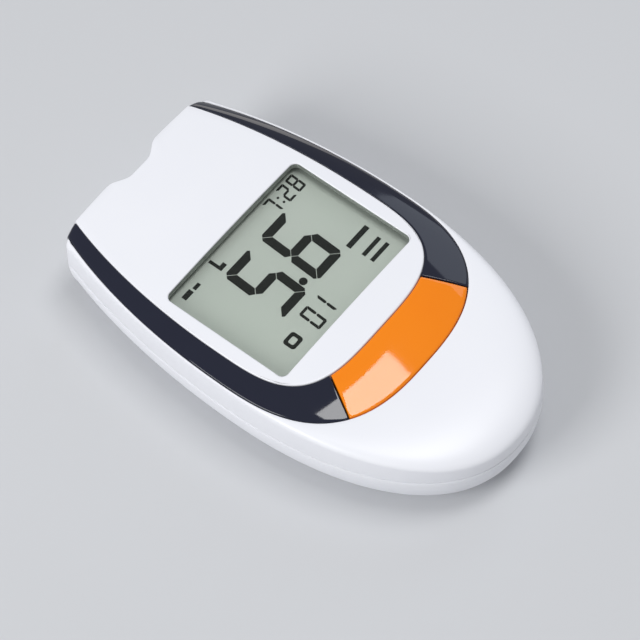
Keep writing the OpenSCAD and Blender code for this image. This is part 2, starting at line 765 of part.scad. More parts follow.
module strip_port() {
    color([0.86, 0.87, 0.88]) difference() {
        union() {
            translate([0, socket_y - socket_l / 2, 0]) slab(socket_w, socket_l, board_z, board_z + socket_h);
            translate([-nose_w / 2, socket_y - overlap, nose_low_z])
                cube([nose_w, nose_y - socket_y + overlap, nose_high_z - nose_low_z]);
        }
        // Slot for the strip, with a flared mouth
        translate([-strip_w / 2 - 0.15, socket_y - socket_l + 2, slot_z - strip_slot_h / 2])
            cube([strip_w + 0.3, socket_l + 8, strip_slot_h]);
        translate([-strip_w / 2 - 0.9, nose_y - 1.1, slot_z - strip_slot_h / 2 - 0.6])
            cube([strip_w + 1.8, 3, strip_slot_h + 1.2]);
        // Room for the spring contacts above the strip
        translate([-2.6, socket_y - socket_l + 1, slot_z])
            cube([5.2, socket_l - 3, socket_h - 2.1 - 0.8]);
        translate([-2.6, socket_y - socket_l - overlap, board_z - overlap])
            cube([5.2, overlap + 1.5, socket_h - 0.8 + overlap]);
    }
}

module strip_contacts() {
    finger_t = 0.2;
    back_y = socket_y - socket_l + 0.1;
    color(gold) for (x = [-1.6, 0, 1.6]) translate([x - 0.4, 0, 0]) rotate([90, 0, 90])
        linear_extrude(0.8) polygon([
            [back_y + 1.1, board_z], [back_y + 1.1, board_z + finger_t],
            [back_y + finger_t, board_z + finger_t], [back_y + finger_t, slot_z + 1.1],
            [back_y + 5.4, slot_z + 0.75], [back_y + 6.6, slot_z + 0.2], [back_y + 7.6, slot_z + 0.8],
            [back_y + 7.5, slot_z + 1], [back_y + 6.6, slot_z + 0.45], [back_y + 5.5, slot_z + 0.95],
            [back_y, slot_z + 1.32], [back_y, board_z]]);
}

module switch_body() {
    color(chip_black) translate([0, button_y, 0]) difference() {
        union() {
            slab(switch_w, switch_w, board_z, board_z + switch_body_h);
            for (x = [-1, 1], y = [-1, 1]) translate([x * 3.6, y * 2.2, 0])
                slab(1.4, 0.7, board_z, board_z + 0.3);
        }
        post(0, 0, 1.75, board_z + 1.2, board_z + switch_body_h + overlap);
    }
}

module switch_plunger() {
    color([0.30, 0.30, 0.32]) post(0, button_y, 1.6, board_z + 1.2 + button_travel + 0.15, plunger_z);
}

// ---- Coin cell, its contacts and the door ----

contact_w = 4;
contact_t = 0.3;
contact_slot_in = window_y - lcd_h / 2 - frame_wall - 1.4;
contact_slot_side = cell_y + cell_d / 2 + 2.6;

module coin_cell() {
    rim_step = 0.35;
    cap_step = 0.3;
    color(steel) translate([0, cell_y, 0]) union() {
        post(0, 0, cell_d / 2, cell_z, cell_high_z - cap_step - rim_step);
        post(0, 0, cell_d / 2 - 0.35, cell_high_z - cap_step - rim_step, cell_high_z - cap_step);
        post(0, 0, cell_d / 2 - 1.2, cell_high_z - cap_step, cell_high_z);
    }
}

// Negative contact: down through the board, over the cup's roof and onto the cell
module cell_contact_negative() {
    leg_y = contact_slot_in;
    roof_z = cup_roof_z + cup_roof_t;
    color(steel) translate([-contact_w / 2, 0, 0]) rotate([90, 0, 90]) linear_extrude(contact_w)
        polygon([
            [leg_y - contact_t / 2, board_z + 0.6], [leg_y - contact_t / 2, roof_z + 0.05],
            [cell_y - 4.6, roof_z + 0.05], [cell_y - 2.6, roof_z + 0.05],
            [cell_y + 0.8, cell_high_z + 0.02], [cell_y + 2.2, cell_high_z + 0.5],
            [cell_y + 2.1, cell_high_z + 0.78], [cell_y + 0.8, cell_high_z + 0.34],
            [cell_y - 2.5, roof_z + 0.05 + contact_t], [leg_y + contact_t / 2, roof_z + 0.05 + contact_t],
            [leg_y + contact_t / 2, board_z + 0.6]]);
}

// Positive contact: a leg beside the cup that presses on the cell's rim
module cell_contact_positive() {
    leg_y = contact_slot_side;
    rim_y = cell_y + cell_d / 2;
    color(steel) translate([-contact_w / 2, 0, 0]) rotate([90, 0, 90]) linear_extrude(contact_w)
        polygon([
            [leg_y - contact_t / 2, board_z + 0.6], [leg_y - contact_t / 2, cup_roof_z + cup_roof_t + 1.2],
            [rim_y + 0.6, cup_roof_z + 0.3], [rim_y + 0.05, cell_z + 1.4], [rim_y + 0.55, cell_z + 0.3],
            [rim_y + 0.8, cell_z + 0.4], [rim_y + 0.35, cell_z + 1.4], [rim_y + 0.9, cup_roof_z + 0.2],
            [leg_y + contact_t / 2, cup_roof_z + cup_roof_t + 1.1],
            [leg_y + contact_t / 2, board_z + 0.6]]);
}

grip_count = 5;
module battery_door() {
    half_w = door_w / 2;
    color(white) difference() {
        union() {
            translate([-half_w, door_low_y + door_gap, door_z])
                cube([door_w, hinge_y - door_low_y - door_gap, door_t]);
            translate([-half_w, hinge_y, hinge_z]) rotate([0, 90, 0]) cylinder(r = hinge_r, h = door_w);
            translate([-half_w - hinge_pin_l, hinge_y, hinge_z]) rotate([0, 90, 0])
                cylinder(r = hinge_pin_r, h = door_w + 2 * hinge_pin_l);
        }
        // Two slits free a springy tongue, with grip grooves across it
        for (x = [-1, 1]) translate([x * 4.5 - 0.3, door_low_y - overlap, -overlap])
            cube([0.6, 6 + overlap, 4]);
        for (i = [0:grip_count - 1])
            translate([-3, door_low_y + 1.2 + i * 1.1, door_z - 0.2]) cube([6, 0.5, 0.55]);
    }
}

// ---- Covers ----

base_turns = [0, 22, 42, 58, 74, 90];
hollow_turns = [74, 52, 28, 0];
lip_t = 0.8;
lip_h = 1.4;
lip_root = 2.4;

// A ring of the rear cover's skin, turned from the joint (0) down to the underside (90)
function base_ring(turn, inset, low_z, high_z) = let (d = 1 - cos(turn))
    at_height(outline(case_outline, inset + base_inset * d, inset + base_end_inset * d),
        low_z + (high_z - low_z) * (1 - sin(turn)));

// Outside of the shell, its lip and its inside, in one closed surface
module rear_shell() {
    rim = joint_z - seam_w;
    turns = len(base_turns);
    loft(concat(
        [for (i = [turns - 1:-1:0]) base_ring(base_turns[i], 0, 0, rim)],
        [at_height(outline(case_outline, wall + fit_gap), rim),
            at_height(outline(case_outline, wall + fit_gap), joint_z + lip_h),
            at_height(outline(case_outline, wall + fit_gap + lip_t), joint_z + lip_h),
            at_height(outline(case_outline, wall + fit_gap + lip_t), rim - lip_root + 1)],
        [for (i = [3:-1:0]) base_ring(hollow_turns[i], wall, floor_t, rim - lip_root)],
        [base_ring(90, wall, floor_t, rim)]
    ));
}

module door_opening() {
    half_w = door_w / 2 + door_gap;
    translate([-half_w, door_low_y, -overlap])
        cube([2 * half_w, hinge_y + 0.8 - door_low_y, door_high_z + face_gap + overlap]);
    translate([-half_w, hinge_y, hinge_z]) rotate([0, 90, 0])
        cylinder(r = hinge_r + hinge_gap, h = 2 * half_w);
    translate([-half_w - hinge_pin_l, hinge_y, hinge_z]) rotate([0, 90, 0])
        cylinder(r = hinge_pin_r + 0.06, h = 2 * (half_w + hinge_pin_l));
}

module rear_cover() {
    half_w = door_w / 2 + door_gap + door_ledge;
    ledge_z = door_high_z + face_gap + door_ledge_t;
    color(white) difference() {
        union() {
            rear_shell();
            for (p = case_screws_at) post(p[0], p[1], tunnel_r, 1.3, tunnel_z);
            translate([-half_w, door_low_y - door_ledge, floor_t / 2])
                cube([2 * half_w, hinge_y - door_low_y + 2 * door_ledge + 1, ledge_z - floor_t / 2]);
            translate([-half_w + 0.2, hinge_y - 2, floor_t / 2])
                cube([2 * half_w - 0.4, 4, hinge_z + hinge_r + hinge_gap + hinge_roof_t - floor_t / 2]);
            post(0, cell_y, cup_r + cup_wall, floor_t / 2, cup_roof_z + cup_roof_t);
        }
        door_opening();
        post(0, cell_y, cup_r, door_high_z - face_gap, cup_roof_z);
        for (p = case_screws_at) {
            post(p[0], p[1], screw_head_r + 0.3, -overlap, screw_head_z + screw_head_h);
            post(p[0], p[1], case_screw_r + 0.15, screw_head_z, case_h);
        }
        // Room for the front cover's thick end wall
        translate([0, end_y, 0]) slab(end_block_w + 0.6, 2 * end_block_t + 0.6,
            joint_z - seam_w, case_h);
        // Openings for the two contacts
        translate([-contact_w / 2 - 0.3, cell_y - 5, cup_roof_z - overlap])
            cube([contact_w + 0.6, 8.4, 4]);
        translate([-contact_w / 2 - 0.3, cell_y + cell_d / 2 - 1.5, cell_z])
            cube([contact_w + 0.6, 4.6, 8]);
        // Dish for a fingertip at the door's tongue
        translate([0, door_low_y - 1.2, -5.9]) sphere(r = 6.8);
    }
}

// Rings of the front cover's top: a quarter turn (0 to 90) from the side wall up to the face's rim
crown_turns = [0, 11, 23, 37, 53, 71];
roof_turns = [60, 30, 0];
fall_from_y = -20;
function fall(y) = tip_fall * pow(max(0, (fall_from_y - y) / (fall_from_y + end_y)), 2);
function crown_ring(turn, inset, side_z, face_z) = let (
    side = outline(case_outline, inset), face = outline(face_outline), across = 1 - cos(turn))
    [for (i = [0:len(side) - 1]) let (z = side_z - fall(side[i][1])) [
        side[i][0] + (face[i][0] - side[i][0]) * across,
        side[i][1] + (face[i][1] - side[i][1]) * across,
        z + (face_z - z) * sin(turn)]];

// Side wall, upper edge and the white top outside the face, round the pocket for the face
module front_wall() {
    draft = 0.25;
    side_z = rim_z - edge_r;
    deck_in_z = deck_low_z + 0.4;
    sleeve(concat(
        [at_height(outline(case_outline), joint_z)],
        [for (turn = crown_turns) crown_ring(turn, draft, side_z, edge_z)],
        [at_height(outline(face_outline), edge_z), at_height(outline(face_outline), deck_in_z)],
        [for (turn = roof_turns) crown_ring(turn, wall + fit_gap / 2, side_z - 0.6, deck_in_z)],
        [at_height(outline(case_outline, wall), joint_z)]
    ));
}

module deck() {
    translate([0, 0, deck_low_z]) linear_extrude(deck_t) difference() {
        polygon(outline(face_outline, -0.3));
        at_window() square([lcd_w + 2 * lcd_hole_gap, lcd_h + 2 * lcd_hole_gap], center = true);
        polygon(button_plan(0));
        for (p = concat(band_pins(-1), band_pins(1), panel_pins))
            translate(p) circle(band_pin_r + fit_gap);
    }
}

// Opens the pocket for the face at the strip end
module end_opening() {
    side_gap = 0.03;
    inner_y = end_y - 3;
    inner_w = half_at(face_outline, inner_y) + side_gap;
    outer_w = half_at(face_outline, end_y) + side_gap;
    translate([0, 0, deck_z]) linear_extrude(case_h) polygon([
        [-inner_w, inner_y], [inner_w, inner_y], [outer_w, end_y], [outer_w, end_y + overlap],
        [-outer_w, end_y + overlap], [-outer_w, end_y]]);
}

module front_cover() {
    pilot_gap = 0.03;
    boss_low = tunnel_z + face_gap;
    deck_bite = 0.4;
    color(white) difference() {
        union() {
            front_wall();
            deck();
            for (p = case_screws_at) post(p[0], p[1], boss_r, boss_low, deck_low_z + deck_bite);
            for (p = board_screws_at) post(p[0], p[1], board_post_r, board_z, deck_low_z + deck_bite);
            // Thick part of the end wall, behind the notch
            translate([-end_block_w / 2, end_y - end_block_t, joint_z])
                cube([end_block_w, end_block_t - 1, deck_z - 0.6 - joint_z]);
        }
        for (p = case_screws_at) post(p[0], p[1], case_screw_r + pilot_gap, 0, deck_low_z - 1.2);
        for (p = board_screws_at) post(p[0], p[1], board_screw_r + pilot_gap, 0, deck_low_z - 0.6);
        end_opening();
        notch_plug(joint_z - overlap, 2 * case_h);
        // Opening for the socket's nose
        translate([0, end_y, 0])
            slab(nose_w + 0.3, 4 * end_block_t, joint_z - overlap, nose_high_z + 0.15);
    }
}

// ---- Fasteners ----

module pan_screw(head_r, head_h, shank_r, length) {
    slot = head_r * 0.35;
    difference() {
        union() {
            post(0, 0, shank_r, 0, length - shank_r);
            translate([0, 0, length - shank_r]) cylinder(r1 = shank_r, r2 = shank_r * 0.3, h = shank_r);
            intersection() {
                post(0, 0, head_r, -head_h, 0);
                translate([0, 0, head_r * 1.6 - head_h]) sphere(r = head_r * 1.75);
            }
        }
        for (a = [0, 90]) rotate(a) slab(head_r * 1.2, slot, -head_h - overlap, -head_h * 0.4);
    }
}

module case_screws() {
    color(steel) for (p = case_screws_at)
        translate([p[0], p[1], screw_head_z + screw_head_h])
            pan_screw(screw_head_r, screw_head_h, case_screw_r, screw_length);
}

module board_screws() {
    color(steel) for (p = board_screws_at) translate([p[0], p[1], board_low_z])
        pan_screw(board_head_r, board_head_h, board_screw_r, board_screw_l);
}

front_cover();
rear_cover();
face_panel();
left_trim();
right_trim();
main_button();
display_lens();
lens_tape();
front_polariser();
lcd_front_glass();
display_segments();
lcd_seal();
lcd_rear_glass();
rear_polariser();
lcd_frame();
zebra_strips();
circuit_board();
microcontroller();
memory_chip();
quartz_crystal();
buzzer();
chip_parts();
strip_port();
strip_contacts();
switch_body();
switch_plunger();
coin_cell();
cell_contact_negative();
cell_contact_positive();
battery_door();
case_screws();
board_screws();
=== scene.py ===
"""Looks of a hand-held blood glucose meter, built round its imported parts.

Sizes in the shape functions are millimetres in the part's own frame: +Z out of the display, +Y
towards the strip end. Meshes and everything else in the scene are in metres.
"""

import math

import bmesh
import bpy
from mathutils import Matrix, Vector


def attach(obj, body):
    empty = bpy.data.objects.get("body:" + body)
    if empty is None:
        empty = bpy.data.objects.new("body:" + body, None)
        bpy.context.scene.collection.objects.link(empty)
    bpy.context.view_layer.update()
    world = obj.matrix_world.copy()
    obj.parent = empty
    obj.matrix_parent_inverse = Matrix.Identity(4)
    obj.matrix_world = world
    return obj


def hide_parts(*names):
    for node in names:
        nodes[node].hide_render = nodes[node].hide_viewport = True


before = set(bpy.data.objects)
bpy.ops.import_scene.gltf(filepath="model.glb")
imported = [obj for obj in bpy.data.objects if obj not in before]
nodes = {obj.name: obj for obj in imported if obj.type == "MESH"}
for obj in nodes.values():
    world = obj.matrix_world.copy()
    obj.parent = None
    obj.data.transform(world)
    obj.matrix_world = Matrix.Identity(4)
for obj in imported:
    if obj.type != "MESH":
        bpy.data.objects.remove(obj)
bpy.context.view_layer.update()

MM = 0.001

# ---- Sizes shared with the part's source ----

END_Y = 53.0
CASE_H = 23.0
JOINT_Z = 13.0
SEAM_W = 0.25
EDGE_Z = 20.7
RIM_Z = 20.3
EDGE_R = 1.4
DRAFT = 0.25
TIP_FALL = 3.1
FALL_FROM_Y = -20.0
DECK_Z = 19.2
DECK_LOW_Z = 18.0
PLATE_Z = 20.8
CROWN_R = 420.0
WALL = 1.8
BASE_INSET = 8.0
BASE_END_INSET = 4.0
FLOOR_T = 1.6
FIT_GAP = 0.1
SLIDE_GAP = 0.25
FACE_GAP = 0.05
BUTTON_IN_W = 30.8
BUTTON_OUT_W = 40.4
FLANGE_W = 0.9
WINDOW = (43.5, 32.4, 1.6)
WINDOW_Y = 8.6
PANEL_LOW_Y = -16.0
FACE_LOW_Y = -28.2
NOTCH_HALF_W = 8.6
NOTCH_FLAT = 2.4
NOTCH_Y = END_Y - 2.6
END_BREAK = 0.9

# Rounding of both covers' edges at the seam, finer than the source shows
SEAM_ROUND = 0.35

# ---- Plans ----

TIP_STEPS = 56
SIDE_STEPS = 36
CORNER_STEPS = 10
END_STEPS = 14
# Share of its radius that a corner keeps at least when its plan is inset
KEPT_CORNER = 0.8


class Plan:
    """Plan of a cover, the face or the panel, mirrored across x = 0.

    A full superellipse makes the tip end and an ellipse the sides up to the strip end, where the
    plan is cut off by a bowed line with rounded corners.
    """

    def __init__(self, half_w, wide_y, low_y, fullness, end_half_w, cut_y, bow, corner_r):
        self.half_w, self.wide_y, self.fullness = half_w, wide_y, fullness
        self.low = wide_y - low_y
        self.reach = (END_Y - wide_y) / math.sqrt(1 - (end_half_w / half_w) ** 2)
        self.cut_y, self.bow, self.corner_r = cut_y, bow, corner_r

    def half_at(self, y, inset=0.0):
        if y < self.wide_y:
            part = ((self.wide_y - y) / (self.low - inset)) ** self.fullness
            return (self.half_w - inset) * max(0.0, 1 - part) ** (1 / self.fullness)
        return (self.half_w - inset) * math.sqrt(1 - ((y - self.wide_y) / (self.reach - inset)) ** 2)

    def low_point(self, angle, inset=0.0):
        """A point of the tip end, from its lowest place (0) to its widest (a quarter turn)."""
        power = 2 / self.fullness
        across = (self.half_w - inset) * math.sin(abs(angle)) ** power
        return (math.copysign(across, angle),
                self.wide_y - (self.low - inset) * math.cos(angle) ** power)

    def low_angle(self, x, inset=0.0):
        return math.asin((x / (self.half_w - inset)) ** (self.fullness / 2))

    def ring(self, inset=0.0, end_inset=None):
        end_inset = inset if end_inset is None else end_inset
        r = max(self.corner_r - inset, KEPT_CORNER * self.corner_r, 0.4)
        corner_y = self.cut_y - end_inset - self.bow - r
        corner_x = self.half_at(corner_y, inset + r)
        lean = math.atan2((corner_y - self.wide_y) / (self.reach - inset) ** 2,
                          corner_x / (self.half_w - inset) ** 2)
        side_top = corner_y + r * math.sin(lean)
        quarter = math.pi / 2
        half = [self.low_point(quarter * i / TIP_STEPS, inset) for i in range(TIP_STEPS)]
        for i in range(SIDE_STEPS):
            y = self.wide_y + (side_top - self.wide_y) * i / SIDE_STEPS
            half.append((self.half_at(y, inset), y))
        for i in range(CORNER_STEPS + 1):
            a = lean + (quarter - lean) * i / CORNER_STEPS
            half.append((corner_x + r * math.cos(a), corner_y + r * math.sin(a)))
        for i in range(1, END_STEPS + 1):
            part = 1 - i / END_STEPS
            half.append((corner_x * part, self.cut_y - end_inset - self.bow * part ** 2))
        return half + [(-x, y) for x, y in half[-2:0:-1]]


CASE = Plan(31.0, 1.5, -END_Y, 2.2, 23.4, END_Y, 0.5, 3.0)
FACE = Plan(30.1, 3.4, FACE_LOW_Y, 2.75, 21.9, END_Y - EDGE_R, 0.5, 1.0)
PANEL = Plan(25.1, WINDOW_Y, PANEL_LOW_Y, 3.5, 18.8, END_Y, 0.0, 0.0)


def end_at(x):
    """Place in y of the bowed strip end at x."""
    return END_Y - CASE.bow * (x / (CASE.half_at(END_Y) - CASE.corner_r)) ** 2


def level(points, z):
    return [(x, y, z) for x, y in points]


def ease(count, start=0.0, stop=1.0):
    """Angles of a quarter turn, in radians, both ends included."""
    return [math.pi / 2 * (start + (stop - start) * i / count) for i in range(count + 1)]


# ---- Meshes ----

def mesh_object(name, points, faces):
    mesh = bpy.data.meshes.new(name)
    mesh.from_pydata([(x * MM, y * MM, z * MM) for x, y, z in points], [], faces)
    shape = bmesh.new()
    shape.from_mesh(mesh)
    bmesh.ops.recalc_face_normals(shape, faces=shape.faces)
    shape.to_mesh(mesh)
    shape.free()
    piece = bpy.data.objects.new(name, mesh)
    bpy.context.scene.collection.objects.link(piece)
    return piece


def band_of_faces(low, high, count):
    return [(low + i, low + (i + 1) % count, high + (i + 1) % count, high + i) for i in range(count)]


def loft(name, rings):
    """A closed solid through a stack of rings, with a flat cap at both ends."""
    count = len(rings[0])
    last = (len(rings) - 1) * count
    faces = [f for k in range(len(rings) - 1)
             for f in band_of_faces(k * count, (k + 1) * count, count)]
    faces += [tuple(range(count)), tuple(range(last, last + count))]
    return mesh_object(name, [p for r in rings for p in r], faces)


def sleeve(name, rings):
    """A closed wall: the rings run up its outside and down its inside."""
    count = len(rings[0])
    faces = [f for k in range(len(rings))
             for f in band_of_faces(k * count, (k + 1) % len(rings) * count, count)]
    return mesh_object(name, [p for r in rings for p in r], faces)


def prism(points, low, high):
    return loft("prism", [level(points, low), level(points, high)])


def block(low, high):
    (x0, y0, z0), (x1, y1, z1) = low, high
    return prism([(x0, y0), (x1, y0), (x1, y1), (x0, y1)], z0, z1)


def circle(x, y, r, steps=64):
    return [(x + r * math.cos(2 * math.pi * i / steps), y + r * math.sin(2 * math.pi * i / steps))
            for i in range(steps)]


def post(x, y, r, low, high):
    return prism(circle(x, y, r), low, high)


def rod(x0, x1, y, z, r):
    """A round bar along x."""
    return loft("rod", [[(x, y + u, z + v) for u, v in circle(0, 0, r)] for x in (x0, x1)])


def ball(x, y, z, r, steps=64):
    rings = [[(x + r * math.sin(a) * math.cos(b), y + r * math.sin(a) * math.sin(b), z + r * math.cos(a))
              for b in [2 * math.pi * j / steps for j in range(steps)]]
             for a in [math.pi * (i + 0.5) / (steps // 2) for i in range(steps // 2)]]
    return loft("ball", rings)


def shaped(piece, joined=(), cut=()):
    """Joins and cuts closed pieces into one, and removes the pieces that were used up."""
    for operation, tools in (("UNION", joined), ("DIFFERENCE", cut)):
        for tool in tools:
            step = piece.modifiers.new("shape", "BOOLEAN")
            step.object, step.operation, step.solver = tool, operation, "EXACT"
    view = bpy.context.evaluated_depsgraph_get()
    mesh = bpy.data.meshes.new_from_object(piece.evaluated_get(view))
    piece.modifiers.clear()
    piece.data = mesh
    for tool in (*joined, *cut):
        bpy.data.objects.remove(tool)
    return piece


def smooth(piece, sharp_from=32):
    piece.data.shade_smooth()
    piece.data.set_sharp_from_angle(angle=math.radians(sharp_from))
    return piece


def dress(piece, body, slot, finish, *replaced):
    piece.data.materials.clear()
    piece.data.materials.append(finish)
    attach(piece, body)
    if replaced:
        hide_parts(*replaced)
    return piece


# ---- Finishes ----

class Value:
    """A shader socket. Python's operators on it add the Math nodes."""

    def __init__(self, finish, socket):
        self.finish, self.socket = finish, socket

    def _math(self, operation, first, second):
        return self.finish.node("ShaderNodeMath", {"operation": operation}, {0: first, 1: second})

    def __add__(self, other):
        return self._math("ADD", self, other)

    def __sub__(self, other):
        return self._math("SUBTRACT", self, other)

    def __rsub__(self, other):
        return self._math("SUBTRACT", other, self)

    def __mul__(self, other):
        return self._math("MULTIPLY", self, other)

    def __lt__(self, other):
        return self._math("LESS_THAN", self, other)

    def __abs__(self):
        return self.finish.node("ShaderNodeMath", {"operation": "ABSOLUTE"}, {0: self})

    __radd__ = __add__
    __rmul__ = __mul__


class Finish:
    """One material and the nodes in it."""

    def __init__(self, name):
        self.material = bpy.data.materials.new(name)
        self.material.use_nodes = True
        self.tree = self.material.node_tree
        self.tree.nodes.clear()

    def node(self, kind, settings=None, sockets=None, out=0):
        made = self.tree.nodes.new(kind)
        for key, setting in (settings or {}).items():
            setattr(made, key, setting)
        for key, value in (sockets or {}).items():
            if isinstance(value, Value):
                self.tree.links.new(value.socket, made.inputs[key])
            else:
                made.inputs[key].default_value = value
        return Value(self, made.outputs[out]) if made.outputs else None

    def place(self):
        return self.node("ShaderNodeTexCoord", out="Object")

    def places(self):
        """The three coordinates of a point of the part, in metres."""
        return [self.node("ShaderNodeSeparateXYZ", {}, {0: self.place()}, out=i) for i in range(3)]

    def noise(self, scale, detail=2.0, roughness=0.5, stretch=(1, 1, 1)):
        """Noise from 0 to 1 with scale in features a metre."""
        where = self.node("ShaderNodeMapping", {}, {"Vector": self.place(), "Scale": stretch})
        return self.node("ShaderNodeTexNoise", {},
                         {"Vector": where, "Scale": scale, "Detail": detail, "Roughness": roughness})

    def blend(self, factor, first, second):
        return self.node("ShaderNodeMix", {"data_type": "RGBA"},
                         {0: factor, 6: (*first, 1), 7: (*second, 1)}, out=2)

    def bump(self, height, distance):
        return self.node("ShaderNodeBump", {},
                         {"Height": height, "Distance": distance, "Strength": 1.0})

    def surface(self, **sockets):
        """The plastic, metal or glass itself; base_color stands for the socket Base Color."""
        return self.node("ShaderNodeBsdfPrincipled", {},
                         {key.replace("_", " ").title().replace("Ior", "IOR"): value
                          for key, value in sockets.items()})

    def finished(self, shader):
        self.node("ShaderNodeOutputMaterial", {}, {"Surface": shader})
        return self.material


def shell_white():
    """Glossy white moulding, with the faint ripple that moulded gloss has."""
    f = Finish("white_gloss_shell")
    cloud, ripple = f.noise(45, 3), f.noise(420, 1)
    return f.finished(f.surface(
        base_color=f.blend(cloud, (0.855, 0.865, 0.915), (0.885, 0.893, 0.935)),
        roughness=0.27 + cloud * 0.12, ior=1.49,
        normal=f.bump(ripple, 4e-6)))


def face_white():
    """The same gloss on the face plate, with painted shade: its window's inner wall is coloured a dark
    grey-green.
    """
    f = Finish("white_gloss_face")
    cloud, ripple = f.noise(45, 3), f.noise(420, 1)
    x, y, z = f.places()
    past, below = 0.4, 0.3
    beside = abs(x) < (WINDOW[0] / 2 + past) * MM
    beyond = abs(y - WINDOW_Y * MM) < (WINDOW[1] / 2 + past) * MM
    under = z + x * x * (1 / (2 * CROWN_R * MM)) < (CASE_H - below) * MM
    inside = beside * beyond * under
    white = f.blend(cloud, (0.855, 0.865, 0.915), (0.885, 0.893, 0.935))
    # Painted shade: the window's inner wall, below the crowned top, gets a dark grey-green in place of the
    # shade that falls in the recess
    white_with_wall_shade = f.node("ShaderNodeMix", {"data_type": "RGBA"},
                    {0: inside, 6: white, 7: (0.2, 0.225, 0.2, 1)}, out=2)
    return f.finished(f.surface(base_color=white_with_wall_shade, roughness=0.24 + cloud * 0.12, ior=1.49,
                                normal=f.bump(ripple, 4e-6)))


def shell_grained():
    """White moulding with a fine spark grain, for the underside."""
    f = Finish("white_grained_shell")
    cloud, grain = f.noise(60, 3), f.noise(5200, 2, 0.6)
    return f.finished(f.surface(
        base_color=f.blend(cloud, (0.84, 0.85, 0.895), (0.87, 0.88, 0.92)),
        roughness=0.40 + grain * 0.14, ior=1.49,
        normal=f.bump(grain, 1.6e-5)))


def band_navy():
    f = Finish("dark_gloss_band")
    cloud, wipe, ripple = f.noise(70, 3), f.noise(260, 4, 0.6, (1, 0.12, 1)), f.noise(380, 1)
    return f.finished(f.surface(
        base_color=f.blend(cloud, (0.0085, 0.0105, 0.024), (0.012, 0.0145, 0.031)),
        roughness=0.02 + wipe * 0.05, ior=1.5,
        normal=f.bump(ripple, 1.5e-6)))


def button_orange():
    f = Finish("orange_gloss_button")
    cloud, wipe, ripple = f.noise(80, 3), f.noise(300, 4, 0.6, (0.2, 1, 1)), f.noise(400, 1)
    return f.finished(f.surface(
        base_color=f.blend(cloud, (0.95, 0.232, 0.001), (0.98, 0.262, 0.003)),
        roughness=0.02 + wipe * 0.05, ior=1.5,
        normal=f.bump(ripple, 1.5e-6)))


def see_through(name, tint, gloss):
    """Clear sheet: it lets the light straight through and its faces mirror a little."""
    f = Finish(name)
    sheen, smear = f.node("ShaderNodeFresnel", {}, {"IOR": 1.49}), f.noise(120, 3)
    clear = f.node("ShaderNodeBsdfTransparent", {}, {"Color": (*tint, 1)})
    mirror = f.surface(base_color=(0.95, 0.96, 0.95, 1), metallic=1.0, roughness=0.02 + smear * 0.05)
    return f.finished(f.node("ShaderNodeMixShader", {},
                             {0: sheen * gloss, 1: clear, 2: mirror}))


def display_ground():
    """Grey-green of the display as its front film shows it, with the fibre of the reflector."""
    f = Finish("display_grey_green")
    fibre, cloud = f.noise(2600, 3, 0.6, (1, 0.25, 1)), f.noise(38, 2)
    tone = f.blend(cloud, (0.60, 0.665, 0.60), (0.68, 0.725, 0.67))
    spread = f.node("ShaderNodeMix", {"data_type": "RGBA", "blend_type": "MULTIPLY"},
                    {0: 0.35, 6: tone, 7: f.blend(fibre, (0.9, 0.9, 0.9), (1, 1, 1))}, out=2)
    return f.finished(f.surface(base_color=spread, roughness=0.5 + fibre * 0.1))


def segment_black():
    """Dark crystal: it absorbs light and hardly mirrors any."""
    f = Finish("segment_black")
    cloud = f.noise(900, 2)
    return f.finished(f.surface(
        base_color=f.blend(cloud, (0.004, 0.006, 0.004), (0.009, 0.012, 0.009)),
        roughness=0.5 + cloud * 0.2, specular_ior_level=0.05))


def plain(name, dark, light, scale=300, roughness=0.5, spread=0.12, grain=6e-6, metallic=0.0,
          stretch=(1, 1, 1)):
    """A small part's finish: two close colours in a cloud, uneven roughness and a light grain."""
    f = Finish(name)
    cloud, fine = f.noise(scale, 3, 0.55, stretch), f.noise(scale * 9, 2, 0.6, stretch)
    return f.finished(f.surface(
        base_color=f.blend(cloud, dark, light), metallic=metallic,
        roughness=roughness + fine * spread, normal=f.bump(fine, grain)))


def board_green():
    """Solder mask over copper tracks: the tracks stand a little proud and paler."""
    f = Finish("green_board")
    tracks = f.node("ShaderNodeTexBrick", {"offset": 0.5},
                    {"Vector": f.place(), "Color1": (0, 0, 0, 1), "Color2": (0, 0, 0, 1),
                     "Mortar": (1, 1, 1, 1), "Scale": 300.0, "Mortar Size": 0.02}, out="Fac")
    cloud = f.noise(500, 2)
    return f.finished(f.surface(
        base_color=f.blend(tracks, (0.008, 0.10, 0.035), (0.02, 0.19, 0.07)),
        roughness=0.25 + cloud * 0.15, normal=f.bump(tracks, 2e-5)))


WHITE = shell_white()
FACE_WHITE = face_white()
GRAINED = shell_grained()
NAVY = band_navy()
ORANGE = button_orange()
STEEL = plain("brushed_steel", (0.50, 0.50, 0.49), (0.64, 0.64, 0.62), scale=260, roughness=0.22,
              spread=0.2, grain=3e-6, metallic=1.0, stretch=(1, 0.08, 1))
INK = segment_black()
BLACK = plain("black_moulding", (0.012, 0.012, 0.013), (0.022, 0.022, 0.024))

